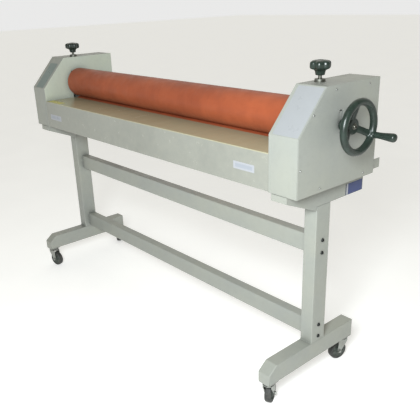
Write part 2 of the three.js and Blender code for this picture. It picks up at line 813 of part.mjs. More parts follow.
function addRollers() {
  place('upper_roller_core', rollerCore(UPPER_AXIS, HUB_END - 8), steel);
  place('upper_roller_cover', rollerCover(UPPER_AXIS), silicone);
  place('lower_roller_core', rollerCore(LOWER_AXIS, JOURNAL_END), steel);
  place('lower_roller_cover', rollerCover(LOWER_AXIS), silicone);
  place('handwheel', handwheel(), blackPlastic);
  place('crank_grip', crankGrip(), blackPlastic);
}

// ------------------------------------------------------------------- assembly

addStand();
addCasters();
addHead();
addPressureGear();
addRollers();

const middle = new THREE.Box3().setFromObject(model).getCenter(new THREE.Vector3());
model.position.set(-middle.x, -middle.y, 0);

export default model;
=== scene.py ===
import json
import math

import bmesh
import bpy
from mathutils import Matrix, Vector


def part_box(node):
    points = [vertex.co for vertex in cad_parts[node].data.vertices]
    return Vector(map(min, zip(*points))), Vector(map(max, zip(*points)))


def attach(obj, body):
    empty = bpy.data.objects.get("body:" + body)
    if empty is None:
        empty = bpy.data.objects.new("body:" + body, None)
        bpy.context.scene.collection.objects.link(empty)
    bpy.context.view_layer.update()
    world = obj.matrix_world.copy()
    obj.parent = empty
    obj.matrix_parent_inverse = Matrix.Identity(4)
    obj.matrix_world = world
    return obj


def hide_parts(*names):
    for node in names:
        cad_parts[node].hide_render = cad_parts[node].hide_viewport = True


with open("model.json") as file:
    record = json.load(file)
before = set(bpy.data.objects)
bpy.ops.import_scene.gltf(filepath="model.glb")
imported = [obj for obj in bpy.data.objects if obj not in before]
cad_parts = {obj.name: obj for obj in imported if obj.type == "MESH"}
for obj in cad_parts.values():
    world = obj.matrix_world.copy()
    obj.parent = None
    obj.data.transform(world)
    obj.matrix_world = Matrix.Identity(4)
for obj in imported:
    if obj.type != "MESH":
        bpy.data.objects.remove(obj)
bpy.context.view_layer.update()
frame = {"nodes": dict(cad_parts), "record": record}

MM = 0.001
SIDES = (("left", -1), ("right", 1))
CASTERS = ("front_left", "front_right", "rear_left", "rear_right")
X, Y, Z = Vector((1, 0, 0)), Vector((0, 1, 0)), Vector((0, 0, 1))
# Where a Mix node keeps its colour sockets, which share their names with those of other types.
MIX_FACTOR, MIX_A, MIX_B, MIX_RESULT = 0, 6, 7, 2
KNOB_LOBES = 6


# ------------------------------------------------------------------ the frame


def node_box(name):
    """Lowest and highest corner of a CAD node as vectors."""
    low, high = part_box(name)
    return Vector(low), Vector(high)


def node_middle(name):
    low, high = node_box(name)
    return (low + high) / 2


def joint_named(name):
    return next(j for j in frame["record"]["behaviour"]["joints"] if j["name"] == name)


def node_points(name):
    return [v.co.copy() for v in frame["nodes"][name].data.vertices]


ROLLER = node_middle("lower_roller_cover")
UPPER_AXIS = node_middle("upper_roller_cover")


# ------------------------------------------------------------- shader building


class Shader:
    """A procedural material, built socket by socket round one Principled shader."""

    def __init__(self, name, roughness=0.5, metallic=0.0, specular=0.5):
        self.material = bpy.data.materials.new(name)
        self.material.use_nodes = True
        self.nodes = self.material.node_tree.nodes
        self.links = self.material.node_tree.links
        self.bsdf = self.nodes["Principled BSDF"]
        self.bsdf.inputs["Roughness"].default_value = roughness
        self.bsdf.inputs["Metallic"].default_value = metallic
        self.bsdf.inputs["Specular IOR Level"].default_value = specular
        self.place = self.nodes.new("ShaderNodeTexCoord").outputs["Object"]

    def feed(self, socket, value):
        if isinstance(value, bpy.types.NodeSocket):
            self.links.new(value, socket)
        elif isinstance(value, tuple) and len(value) == 3:
            socket.default_value = (*value, 1) if socket.type == "RGBA" else value
        else:
            socket.default_value = value

    def stretched(self, scale):
        """The object's coordinates, stretched by a factor for each axis."""
        node = self.nodes.new("ShaderNodeMapping")
        self.links.new(self.place, node.inputs["Vector"])
        node.inputs["Scale"].default_value = scale
        return node.outputs["Vector"]

    def noise(self, scale, detail=3.0, roughness=0.55, stretch=None):
        node = self.nodes.new("ShaderNodeTexNoise")
        self.links.new(self.stretched(stretch) if stretch else self.place, node.inputs["Vector"])
        node.inputs["Scale"].default_value = scale
        node.inputs["Detail"].default_value = detail
        node.inputs["Roughness"].default_value = roughness
        return node.outputs["Fac"]

    def spots(self, scale):
        """Distance to the nearest of many scattered points."""
        node = self.nodes.new("ShaderNodeTexVoronoi")
        self.links.new(self.place, node.inputs["Vector"])
        node.inputs["Scale"].default_value = scale
        return node.outputs["Distance"]

    def range(self, value, low, high, to_low=0.0, to_high=1.0):
        node = self.nodes.new("ShaderNodeMapRange")
        self.links.new(value, node.inputs["Value"])
        sockets = ("From Min", "From Max", "To Min", "To Max")
        for socket, number in zip(sockets, (low, high, to_low, to_high)):
            node.inputs[socket].default_value = number
        return node.outputs["Result"]

    def math(self, operation, a, b):
        node = self.nodes.new("ShaderNodeMath")
        node.operation = operation
        self.feed(node.inputs[0], a)
        self.feed(node.inputs[1], b)
        return node.outputs["Value"]

    def mix(self, factor, a, b, blend="MIX"):
        node = self.nodes.new("ShaderNodeMix")
        node.data_type = "RGBA"
        node.blend_type = blend
        self.feed(node.inputs[MIX_FACTOR], factor)
        self.feed(node.inputs[MIX_A], a)
        self.feed(node.inputs[MIX_B], b)
        return node.outputs[MIX_RESULT]

    def edges(self, radius):
        """1 near a convex or concave edge, 0 on the flats."""
        bevel = self.nodes.new("ShaderNodeBevel")
        bevel.samples = 4
        bevel.inputs["Radius"].default_value = radius
        geometry = self.nodes.new("ShaderNodeNewGeometry")
        dot = self.nodes.new("ShaderNodeVectorMath")
        dot.operation = "DOT_PRODUCT"
        self.links.new(bevel.outputs["Normal"], dot.inputs[0])
        self.links.new(geometry.outputs["Normal"], dot.inputs[1])
        return self.range(dot.outputs["Value"], 0.98, 0.80)

    def corners(self, distance):
        """1 in the open, falling towards 0 in crevices."""
        node = self.nodes.new("ShaderNodeAmbientOcclusion")
        node.samples = 4
        node.inputs["Distance"].default_value = distance
        return node.outputs["AO"]

    def height(self, low, high):
        """0 below the height low, 1 above high."""
        node = self.nodes.new("ShaderNodeSeparateXYZ")
        self.links.new(self.place, node.inputs[0])
        return self.range(node.outputs["Z"], low, high)

    def color(self, value):
        self.feed(self.bsdf.inputs["Base Color"], value)

    def roughness(self, value):
        self.feed(self.bsdf.inputs["Roughness"], value)

    def bump(self, height, strength, distance):
        node = self.nodes.new("ShaderNodeBump")
        self.links.new(height, node.inputs["Height"])
        node.inputs["Strength"].default_value = strength
        node.inputs["Distance"].default_value = distance
        self.links.new(node.outputs["Normal"], self.bsdf.inputs["Normal"])


def scaled(color, factor):
    return tuple(c * factor for c in color)


def powder_coat(name, color, roughness=0.42, warmth=(1.0, 0.985, 0.93)):
    """Satin stove enamel: cloudy tone, fine orange peel, painted shade in its corners and worn edges."""
    s = Shader(name, roughness)
    clouds = s.range(s.noise(4.5, 4, 0.6), 0.35, 0.68)
    warm = tuple(c * w for c, w in zip(scaled(color, 1.03), warmth))
    tone = s.mix(clouds, scaled(color, 0.93), warm)
    mottle = s.range(s.noise(55, 3, 0.6), 0.3, 0.7, 0.965, 1.03)
    tone = s.mix(1.0, tone, s.mix(mottle, (0, 0, 0), (1, 1, 1)), "MULTIPLY")
    # painted shade: the enamel darkens towards 0.55 of its colour where ambient occlusion finds a crevice
    corner_shade = s.range(s.corners(0.03), 0.35, 0.95)
    tone = s.mix(corner_shade, scaled(color, 0.55), tone)
    worn = s.math("MULTIPLY", s.edges(0.0012), s.range(s.noise(38, 4, 0.7), 0.5, 0.72))
    tone = s.mix(worn, tone, (0.42, 0.42, 0.40))
    s.color(tone)
    s.roughness(s.range(s.noise(22, 3), 0.3, 0.7, roughness - 0.05, roughness + 0.08))
    s.bump(s.noise(900, 2), 0.10, 0.0002)
    return s.material


def table_coat():
    """The table's smooth enamel: the top painted olive as a painted reflection of the orange roller and
    the warm overhead light, greyer on the apron, with painted shade in its crevices.
    """
    top = node_box("table_front")[1].z
    s = Shader("table_enamel", 0.2)
    clouds = s.range(s.noise(3.2, 4, 0.6), 0.33, 0.7, 0.90, 1.06)
    # painted reflection: the top face is coloured olive for the orange roller and warm light it reflects;
    # the apron keeps the grey
    tone = s.mix(s.height(top - 4 * MM, top - 1 * MM), (0.265, 0.27, 0.24), (0.42, 0.40, 0.27))
    tone = s.mix(1.0, tone, s.mix(clouds, (0, 0, 0), (1, 1, 1)), "MULTIPLY")
    rubs = s.range(s.noise(34, 4, 0.65, (1, 0.05, 1)), 0.35, 0.7)
    tone = s.mix(s.math("MULTIPLY", rubs, 0.10), tone, (0.48, 0.46, 0.37))
    # painted shade: the table darkens where ambient occlusion finds a crevice, as next to the roller
    corner_shade = s.range(s.corners(0.006), 0.2, 0.9)
    tone = s.mix(corner_shade, (0.22, 0.21, 0.16), tone)
    s.color(tone)
    s.roughness(s.range(rubs, 0, 1, 0.22, 0.28))
    s.bump(s.noise(420, 2), 0.05, 0.0002)
    return s.material


def roller_rubber():
    """Ground silicone: mottled orange with faint rings left by grinding."""
    color = (0.315, 0.071, 0.028)
    s = Shader("silicone_rubber", 0.5, specular=0.4)
    clouds = s.range(s.noise(7, 4, 0.6), 0.35, 0.68)
    tone = s.mix(clouds, scaled(color, 0.80), (0.355, 0.084, 0.032))
    rings = s.range(s.noise(150, 3, 0.7, (1, 0.02, 0.02)), 0.35, 0.65)
    tone = s.mix(s.math("MULTIPLY", rings, 0.22), tone, (0.40, 0.085, 0.03))
    smudges = s.range(s.noise(15, 5, 0.7), 0.60, 0.78)
    tone = s.mix(s.math("MULTIPLY", smudges, 0.30), tone, (0.26, 0.08, 0.045))
    s.color(tone)
    s.roughness(s.range(s.noise(26, 3), 0.3, 0.7, 0.42, 0.58))
    s.bump(rings, 0.12, 0.0002)
    return s.material


def moulded_plastic(name="phenolic", color=(0.013, 0.022, 0.017), roughness=0.28):
    """Dark moulded phenolic: a fine flow pattern, worn duller in patches."""
    s = Shader(name, roughness)
    flow = s.range(s.noise(60, 4, 0.6), 0.35, 0.65)
    tone = s.mix(flow, scaled(color, 0.8), scaled(color, 1.35))
    rubbed = s.math("MULTIPLY", s.edges(0.0015), s.range(s.noise(70, 3), 0.4, 0.7))
    s.color(s.mix(rubbed, tone, (0.07, 0.085, 0.075)))
    s.roughness(s.range(s.noise(45, 3), 0.3, 0.7, roughness - 0.06, roughness + 0.14))
    s.bump(s.noise(700, 2), 0.06, 0.0002)
    return s.material


def plated_steel(name, color, roughness=0.34, tarnish=(0.25, 0.24, 0.21)):
    """Plated or blackened steel: a fine spangle, dull patches and painted shade in its corners."""
    s = Shader(name, roughness, metallic=1.0)
    spangle = s.range(s.spots(260), 0.1, 0.7, 0.85, 1.06)
    tone = s.mix(1.0, color, s.mix(spangle, (0, 0, 0), (1, 1, 1)), "MULTIPLY")
    dull = s.range(s.noise(30, 4, 0.65), 0.45, 0.75, 0.0, 0.5)
    tone = s.mix(dull, tone, tarnish)
    # painted shade: the steel darkens towards dark tarnish where ambient occlusion finds a crevice
    corner_shade = s.range(s.corners(0.012), 0.3, 0.9)
    s.color(s.mix(corner_shade, scaled(tarnish, 0.4), tone))
    s.roughness(s.range(s.noise(90, 3), 0.3, 0.7, roughness - 0.08, roughness + 0.12))
    s.bump(s.noise(500, 2), 0.08, 0.0002)
    return s.material


def turned_steel():
    """Turned and ground steel, with tool marks round the axis."""
    s = Shader("turned_steel", 0.32, metallic=1.0)
    marks = s.noise(400, 3, 0.6, (1, 0.05, 0.05))
    s.color(s.mix(s.range(marks, 0.3, 0.7), (0.34, 0.335, 0.32), (0.56, 0.56, 0.55)))
    s.roughness(s.range(marks, 0.3, 0.7, 0.25, 0.42))
    s.bump(marks, 0.15, 0.0002)
    return s.material


def spring_steel():
    s = Shader("spring_steel", 0.38, metallic=1.0)
    oil = s.range(s.noise(120, 4), 0.35, 0.7)
    s.color(s.mix(oil, (0.07, 0.075, 0.08), (0.16, 0.16, 0.16)))
    s.bump(s.noise(600, 2), 0.1, 0.0002)
    return s.material


def tread_rubber():
    """Caster tyre: hard rubber, dusty in the middle of the tread."""
    s = Shader("tread_rubber", 0.7)
    dust = s.range(s.noise(60, 5, 0.7), 0.45, 0.72)
    s.color(s.mix(dust, (0.028, 0.030, 0.029), (0.085, 0.082, 0.074)))
    s.roughness(s.range(dust, 0, 1, 0.55, 0.85))
    s.bump(s.noise(800, 3), 0.25, 0.0003)
    return s.material


def wheel_plastic():
    s = Shader("wheel_plastic", 0.5)
    fine = s.range(s.noise(130, 4), 0.35, 0.7)
    s.color(s.mix(fine, (0.045, 0.055, 0.047), (0.085, 0.098, 0.085)))
    s.bump(s.noise(700, 2), 0.12, 0.0002)
    return s.material


def film_label(name, color, edge, roughness=0.3):
    """A blank self-adhesive film label: faint ripples and a lifted, dusty edge."""
    s = Shader(name, roughness)
    ripple = s.range(s.noise(28, 3, 0.5), 0.3, 0.7)
    tone = s.mix(ripple, scaled(color, 0.985), scaled(color, 1.015))
    s.color(s.mix(s.edges(0.0003), tone, edge))
    s.roughness(s.range(ripple, 0, 1, roughness - 0.05, roughness + 0.1))
    s.bump(s.noise(45, 2), 0.05, 0.0002)
    return s.material


def pale_floor():
    s = Shader("pale_floor", 0.9, specular=0.1)
    s.color(s.mix(s.range(s.noise(2.5, 3), 0.3, 0.7), (0.70, 0.70, 0.69), (0.74, 0.74, 0.73)))
    s.bsdf.inputs["Emission Color"].default_value = (1, 1, 1, 1)
    s.bsdf.inputs["Emission Strength"].default_value = 0.45
    return s.material


PAINT = powder_coat("grey_enamel", (0.297, 0.309, 0.287))
# painted light: a lighter copy of the grey enamel for the side plates' inner faces, where the light from
# the right falls
LIT_PLATE_PAINT = powder_coat("lit_inner_enamel", (0.46, 0.50, 0.44))
TABLE = table_coat()
RUBBER = roller_rubber()
PHENOLIC = moulded_plastic()
ZINC = plated_steel("zinc_plate", (0.62, 0.63, 0.63))
FORK_STEEL = plated_steel("fork_steel", (0.36, 0.375, 0.355), 0.42)
BLACK_OXIDE = plated_steel("black_oxide", (0.05, 0.053, 0.052), 0.45, (0.03, 0.03, 0.028))
DULL_STEEL = plated_steel("dull_steel", (0.24, 0.245, 0.22), 0.45, (0.14, 0.13, 0.10))
TURNED = turned_steel()
SPRING = spring_steel()
TREAD = tread_rubber()
WHEEL_CORE = wheel_plastic()
PALE_FILM = film_label("pale_film", (0.29, 0.30, 0.315), (0.36, 0.38, 0.39))
# painted reflection: a dark copy of the pale film, for the left panel where the film reflects dark
# surroundings
DARK_REFLECTION_FILM = film_label("dark_reflection_film", (0.15, 0.195, 0.185), (0.28, 0.30, 0.28))
WHITE_FILM = film_label("white_film", (0.35, 0.36, 0.39), (0.34, 0.34, 0.34))
GREY_PRINT = film_label("grey_print", (0.29, 0.31, 0.35), (0.31, 0.32, 0.35))
BLUE_FILM = film_label("blue_film", (0.030, 0.048, 0.15), (0.045, 0.07, 0.18))
BLACK_FILM = film_label("black_film", (0.02, 0.02, 0.025), (0.03, 0.03, 0.03))
YELLOW_FILM = film_label("yellow_film", (0.62, 0.55, 0.10), (0.5, 0.45, 0.15))


# --------------------------------------------------------------- mesh building


def finish_mesh(name, bm, material, body, nodes=(), sharp=35, soften=0.0, weighted=True):
    """Turns a bmesh into a piece that rides on a body and stands for CAD nodes."""
    bmesh.ops.recalc_face_normals(bm, faces=bm.faces)
    mesh = bpy.data.meshes.new(name)
    bm.to_mesh(mesh)
    bm.free()
    mesh.materials.append(material)
    mesh.shade_smooth()
    mesh.set_sharp_from_angle(angle=math.radians(sharp))
    piece = bpy.data.objects.new(name, mesh)
    bpy.context.scene.collection.objects.link(piece)
    if soften:
        bevel = piece.modifiers.new("soft_edges", "BEVEL")
        bevel.width = soften
        bevel.segments = 2
        bevel.limit_method = "ANGLE"
        bevel.angle_limit = math.radians(32)
        bevel.harden_normals = True
    if weighted:
        normals = piece.modifiers.new("flat_faces", "WEIGHTED_NORMAL")
        normals.keep_sharp = True
    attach(piece, body)
    if nodes:
        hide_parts(*nodes)
    return piece


def node_mesh(name):
    """A clean bmesh of a CAD node: joined corners and no lines across flat faces."""
    bm = bmesh.new()
    bm.from_mesh(frame["nodes"][name].data)
    bmesh.ops.remove_doubles(bm, verts=bm.verts, dist=0.00001)
    bmesh.ops.dissolve_limit(
        bm, angle_limit=math.radians(0.6), verts=bm.verts, edges=bm.edges, use_dissolve_boundaries=False
    )
    return bm


def is_outer_corner(edge):
    return len(edge.link_faces) == 2 and edge.is_convex and edge.calc_face_angle(0) > math.radians(20)


def round_edges(bm, radius, keep, segments=4):
    edges = [e for e in bm.edges if is_outer_corner(e) and keep(e)]
    bmesh.ops.bevel(
        bm, geom=edges, offset=radius, segments=segments, profile=0.5, affect="EDGES", clamp_overlap=True
    )


def along(axis):
    """A test for edges that run along an axis."""
    def test(edge):
        way = (edge.verts[1].co - edge.verts[0].co).normalized()
        return abs(way.dot(axis)) > 0.99
    return test


def basis(axis):
    """Two unit vectors square to an axis."""
    side = Z if abs(axis.dot(Z)) < 0.9 else Y
    u = axis.cross(side).normalized()
    return u, axis.cross(u)


def loft(bm, rings, cap_start=True, cap_end=True):
    """Skins rings of points that all have the same number of corners."""
    rows = [[bm.verts.new(p) for p in ring] for ring in rings]
    count = len(rows[0])
    for a, b in zip(rows, rows[1:]):
        for i in range(count):
            j = (i + 1) % count
            bm.faces.new((a[i], a[j], b[j], b[i]))
    if cap_start:
        bm.faces.new(reversed(rows[0]))
    if cap_end:
        bm.faces.new(rows[-1])
    return rows


def close_loop(bm, rows):
    """Joins the last row of corners back to the first."""
    count = len(rows[0])
    for i in range(count):
        j = (i + 1) % count
        bm.faces.new((rows[-1][i], rows[-1][j], rows[0][j], rows[0][i]))


def turned_rings(profile, origin, axis, segments, radius_at=None):
    """Rings of a turned shape: profile points are (radius, distance along the axis)."""
    u, v = basis(axis)
    rings = []
    for radius, distance in profile:
        ring = []
        for i in range(segments):
            angle = 2 * math.pi * i / segments
            r = radius_at(radius, distance, angle) if radius_at else radius
            ring.append(origin + axis * distance + (u * math.cos(angle) + v * math.sin(angle)) * r)
        rings.append(ring)
    return rings


def add_turned(bm, profile, origin, axis, segments=48, radius_at=None):
    """A closed turned solid; a profile that starts and ends off the axis is capped flat."""
    loft(bm, turned_rings(profile, origin, axis, segments, radius_at))


def add_tube(bm, profile, origin, axis, segments=48):
    """A turned ring whose profile closes on itself."""
    rings = turned_rings(profile, origin, axis, segments)
    close_loop(bm, loft(bm, rings, False, False))


def filleted(points, radius, steps=6):
    """An open line of 2-D points with its inner corners rounded."""
    line = [points[0]]
    for before, corner, after in zip(points, points[1:], points[2:]):
        a = (before - corner).normalized()
        b = (after - corner).normalized()
        half = a.angle(b) / 2
        reach = radius / math.tan(half)
        start, end = corner + a * reach, corner + b * reach
        middle = corner + (a + b).normalized() * (radius / math.sin(half))
        for i in range(steps + 1):
            t = i / steps
            spoke = (start - middle).lerp(end - middle, t).normalized() * radius
            line.append(middle + spoke)
    line.append(points[-1])
    return line


def offset_line(line, distance):
    """The line moved sideways by a distance, to its right where that is positive."""
    moved = []
    for i, point in enumerate(line):
        before = line[max(i - 1, 0)]
        after = line[min(i + 1, len(line) - 1)]
        way = (after - before).normalized()
        moved.append(point + Vector((way.y, -way.x)) * distance)
    return moved


def add_bent_sheet(bm, points, thickness, radius, x_low, x_high):
    """Sheet metal folded along X: the points are the outer (y, z) line, inside to its right."""
    outer = filleted([Vector(p) for p in points], radius)
    inner = offset_line(outer, thickness)
    loop = outer + list(reversed(inner))
    rings = [[Vector((x, p.x, p.y)) for p in loop] for x in (x_low, x_high)]
    rows = loft(bm, rings, False, False)
    count = len(outer)
    for row in rows:
        for i in range(count - 1):
            bm.faces.new((row[i], row[i + 1], row[-2 - i], row[-1 - i]))


def add_plate(bm, middle, u, v, normal, width, height, thickness, corner, steps=5):
    """A thin plate with rounded corners, standing on a surface."""
    ring = []
    for corner_index, (su, sv) in enumerate(((1, 1), (-1, 1), (-1, -1), (1, -1))):
        centre_u, centre_v = su * (width / 2 - corner), sv * (height / 2 - corner)
        for i in range(steps + 1):
            angle = math.pi / 2 * (corner_index + i / steps)
            pu = centre_u + corner * math.cos(angle)
            pv = centre_v + corner * math.sin(angle)
            ring.append((pu, pv))
    lift = 0.00005
    heights = (lift, thickness + lift)
    rings = [[middle + u * a + v * b + normal * h for a, b in ring] for h in heights]
    loft(bm, rings)


def hexagon_reach(half_across_flats, angle):
    """Distance from a hexagon's middle to its outline, in the direction of an angle."""
    return half_across_flats / math.cos(angle % (math.pi / 3) - math.pi / 6)


def add_screw(bm, seat, axis, radius, segments=24):
    """A button-head screw with a hexagon socket."""
    def hexagon(r, distance, angle):
        if r < radius * 0.55:
            return hexagon_reach(r * math.cos(math.pi / 6), angle)
        return r
    height = radius * 0.55
    profile = [
        (radius, 0.0),
        (radius, height * 0.25),
        (radius * 0.93, height * 0.6),
        (radius * 0.78, height * 0.9),
        (radius * 0.6, height),
        (radius * 0.5, height),
        (radius * 0.48, height * 0.3),
    ]
    add_turned(bm, profile, seat, axis, segments, hexagon)


def bead_line(corners, steps):
    """Points along a closed line of corners, evenly spread over each straight."""
    line = []
    for a, b in zip(corners, corners[1:] + corners[:1]):
        line += [a.lerp(b, i / steps) for i in range(steps)]
    return line


def add_weld(bm, corners, out, radius, steps=26, sides=8):
    """A weld bead round a closed line: ripples of metal along the joint."""
    line = bead_line(corners, steps)
    count = len(line)
    rings = []
    for i, point in enumerate(line):
        way = (line[(i + 1) % count] - line[i - 1]).normalized()
        side = way.cross(out).normalized()
        swell = radius * (1 + 0.16 * math.sin(i * 2.1) + 0.08 * math.sin(i * 0.83 + 1))
        ring = []
        for k in range(sides):
            angle = 2 * math.pi * k / sides
            ring.append(point + (side * math.cos(angle) + out * math.sin(angle)) * swell)
        rings.append(ring)
    rows = loft(bm, rings, False, False)
    close_loop(bm, rows)


# ------------------------------------------------------------------- the stand


def body_of_node(name):
    bodies = frame["record"]["behaviour"]["bodies"]
    return next(body for body, nodes in bodies.items() if name in nodes)


def rounded_node(name, material, radius, keep, soften=0.0004, segments=4):
    bm = node_mesh(name)
    round_edges(bm, radius, keep, segments)
    return finish_mesh(f"{name}_finish", bm, material, body_of_node(name), (name,), soften=soften)


def off_the_underside(bottom):
    """A test for a foot's edges that leaves out the short ones on its underside."""
    longest_left_out = 300 * MM

    def test(edge):
        a, b = (vert.co for vert in edge.verts)
        on_underside = abs((a.z + b.z) / 2 - bottom) < 1 * MM
        return not (on_underside and abs(b.y - a.y) < longest_left_out)
    return test


def make_stand():
    for word, _ in SIDES:
        rounded_node(f"column_{word}", PAINT, 3.5 * MM, along(Z), 0.0)
        keep = off_the_underside(node_box(f"foot_{word}")[0].z)
        rounded_node(f"foot_{word}", PAINT, 3 * MM, keep, 0.0)
        rounded_node(f"head_bracket_{word}", PAINT, 1.2 * MM, lambda e: True, 0.0, 3)
        make_column_welds(word)
    for name in ("rail_lower", "rail_upper"):
        rounded_node(name, PAINT, 3.5 * MM, along(X), 0.0)


def make_column_welds(word):
    """The fillet weld where the column meets its foot."""
    low, high = node_box(f"column_{word}")
    inset = 1.2 * MM
    left, right, front, back = low.x + inset, high.x - inset, low.y + inset, high.y - inset
    bm = bmesh.new()
    plan = ((left, front), (right, front), (right, back), (left, back))
    corners = [Vector((x, y, low.z)) for x, y in plan]
    add_weld(bm, corners, Z, 2.2 * MM)
    finish_mesh(f"column_weld_{word}", bm, PAINT, "frame", weighted=False)


def make_rail_bolts():
    """Button-head bolts with a hexagon socket, through each column into the rails."""
    shank, socket, depth = 4 * MM, 2.9 * MM, 2.2 * MM

    def hexagon(r, distance, angle):
        if r > socket:
            return r
        return hexagon_reach(2.5 * MM, angle)

    for word, side in SIDES:
        column_low, column_high = node_box(f"column_{word}")
        face = column_high.x if side > 0 else column_low.x
        for i in range(1, 5):
            name = f"rail_bolt_{word}_{i}"
            low, high = node_box(name)
            middle = (low + high) / 2
            seat = Vector((face, middle.y, middle.z))
            ends = sorted((x - face) * side for x in (low.x, high.x))
            radius = (high.z - low.z) / 2
            bm = bmesh.new()
            add_turned(bm, [(shank, ends[0]), (shank, 0.5 * MM)], seat, X * side, 24)
            head = [
                (radius, 0.3 * MM),
                (radius, 1.1 * MM),
                (radius * 0.94, 2.4 * MM),
                (radius * 0.78, 3.6 * MM),
                (radius * 0.55, ends[1]),
                (socket, ends[1]),
                (socket, depth),
            ]
            add_turned(bm, head, seat, X * side, 48, hexagon)
            finish_mesh(
                f"{name}_finish", bm, BLACK_OXIDE, "frame", (name,), weighted=False
            )


# ----------------------------------------------------------------- the housings


def housing_line(word):
    """The shroud's outer (y, z) corners, read from its CAD node."""
    points = node_points(f"shroud_{word}")
    low, high = node_box(f"shroud_{word}")
    nose = max(p.z for p in points if p.y < low.y + 0.1 * MM)
    slope_end = min(p.y for p in points if p.z > high.z - 0.1 * MM)
    return [(low.y, low.z), (low.y, nose), (slope_end, high.z), (high.y, high.z), (high.y, low.z)]


def make_housings():
    for word, side in SIDES:
        low, high = node_box(f"shroud_{word}")
        line = housing_line(word)
        bm = bmesh.new()
        add_bent_sheet(bm, line, 2 * MM, 3 * MM, low.x, high.x)
        finish_mesh(
            f"shroud_{word}_finish", bm, PAINT, "frame", (f"shroud_{word}",), soften=0.0004
        )
        # painted light: the side plate's faces take the lighter, lit copy of the enamel
        plate = rounded_node(f"side_plate_{word}", LIT_PLATE_PAINT, 0.8 * MM, lambda e: True, 0.0, 2)
        paint_rims(plate, PAINT)
        rounded_node(f"side_cover_{word}", PAINT, 1.0 * MM, lambda e: True, 0.0, 3)
        rounded_node(f"film_bracket_{word}", PAINT, 0.6 * MM, lambda e: True, 0.0, 2)
        make_cover_screws(word, side)
        make_slope_label(word, side)


def paint_rims(plate, material):
    """The faces round a side plate's rim take the colour of the sheet next to them."""
    plate.data.materials.append(material)
    for polygon in plate.data.polygons:
        if abs(polygon.normal.x) < 0.5:
            polygon.material_index = 1


def make_cover_screws(word, side):
    """Screws round the side cover, near its edges."""
    low, high = node_box(f"side_cover_{word}")
    face = high.x if side > 0 else low.x
    line = housing_line(word)
    nose, slope_end = line[1], line[2]
    inset = 14 * MM
    spots = [
        (slope_end[0] + 46 * MM, high.z - inset),
        (high.y - 58 * MM, high.z - inset - 3 * MM),
        ((nose[0] + slope_end[0]) / 2 + 5 * MM, (nose[1] + high.z) / 2 - 9 * MM),
        (low.y + inset - 2 * MM, (low.z + nose[1]) / 2 - 4 * MM),
        (high.y - inset, (low.z + high.z) / 2 + 30 * MM),
        (low.y + 110 * MM, low.z + inset),
        (high.y - 60 * MM, low.z + inset),
    ]
    bm = bmesh.new()
    for y, z in spots:
        add_screw(bm, Vector((face, y, z)), X * side, 3.2 * MM)
    finish_mesh(f"cover_screws_{word}", bm, ZINC, "frame", weighted=False)


def make_slope_label(word, side):
    """The blank film panel on the sloping face."""
    low, high = node_box(f"shroud_{word}")
    line = housing_line(word)
    start, end = Vector((0, *line[1])), Vector((0, *line[2]))
    up = (end - start).normalized()
    normal = up.cross(X) * -1
    if normal.z < 0:
        normal.negate()
    length = (end - start).length
    shares, width, shift = ((0.02, 0.80), 0.70, 8 * MM) if side < 0 else ((0.015, 0.97), 0.94, 0.0)
    middle = start.lerp(end, sum(shares) / 2)
    middle.x = (low.x + high.x) / 2 + shift
    bm = bmesh.new()
    height = length * (shares[1] - shares[0])
    add_plate(bm, middle, X, up, normal, (high.x - low.x) * width, height, 0.3 * MM, 3 * MM)
    # painted reflection: the left panel takes the dark copy of the film
    film = DARK_REFLECTION_FILM if side < 0 else PALE_FILM
    finish_mesh(f"slope_panel_{word}", bm, film, "frame", weighted=False)


def make_labels():
    """Blank labels on the apron, a blank rating plate and a small yellow sticker."""
    apron_low, apron_high = node_box("table_front")
    plates = (
        ("right", apron_high.x - 110 * MM, 843 * MM, 98 * MM),
        ("left", apron_low.x + 89 * MM, 835 * MM, 108 * MM),
    )
    for word, x, z, width in plates:
        bm = bmesh.new()
        middle = Vector((x, apron_low.y, z))
        add_plate(bm, middle, X, Z, -Y, width, 26 * MM, 0.3 * MM, 2 * MM)
        finish_mesh(f"apron_label_{word}", bm, WHITE_FILM, "frame", weighted=False)
        bm = bmesh.new()
        middle.y -= 0.35 * MM
        add_plate(bm, middle, X, Z, -Y, width * 0.82, 13 * MM, 0.1 * MM, 1 * MM)
        finish_mesh(f"apron_label_band_{word}", bm, GREY_PRINT, "frame", weighted=False)
    bracket_low, bracket_high = node_box("head_bracket_right")
    middle = Vector((bracket_high.x, bracket_high.y - 52 * MM, 730 * MM))
    for name, film, dy, width, lift in (
        ("rating_plate", BLUE_FILM, 0, 96 * MM, 0.0),
        ("rating_plate_margin", WHITE_FILM, -41 * MM, 11 * MM, 0.4 * MM),
        ("rating_plate_line", BLACK_FILM, -46.5 * MM, 2.4 * MM, 0.5 * MM),
    ):
        bm = bmesh.new()
        spot = middle + Vector((lift, dy, 0))
        add_plate(bm, spot, Y, Z, X, width, 40 * MM, 0.35 * MM, 1.1 * MM)
        finish_mesh(name, bm, film, "frame", weighted=False)
    bm = bmesh.new()
    spot = Vector((apron_low.x + 70 * MM, apron_low.y + 23 * MM, apron_high.z))
    add_plate(bm, spot, X, Y, Z, 124 * MM, 32 * MM, 0.2 * MM, 2 * MM)
    finish_mesh("yellow_sticker", bm, YELLOW_FILM, "frame", weighted=False)


def make_tables():
    """Each table: one sheet folded down into an apron with a lip under it."""
    for name, facing in (("table_front", -1), ("table_rear", 1)):
        low, high = node_box(name)
        near, far = (high.y, low.y) if facing < 0 else (low.y, high.y)
        lip = far - facing * 20 * MM
        line = [(near, high.z), (far, high.z), (far, low.z), (lip, low.z)]
        bm = bmesh.new()
        add_bent_sheet(bm, line, facing * 2 * MM, 2.6 * MM, low.x, high.x)
        finish_mesh(f"{name}_finish", bm, TABLE, "frame", (name,), soften=0.0004)


# ------------------------------------------------------------------ the rollers


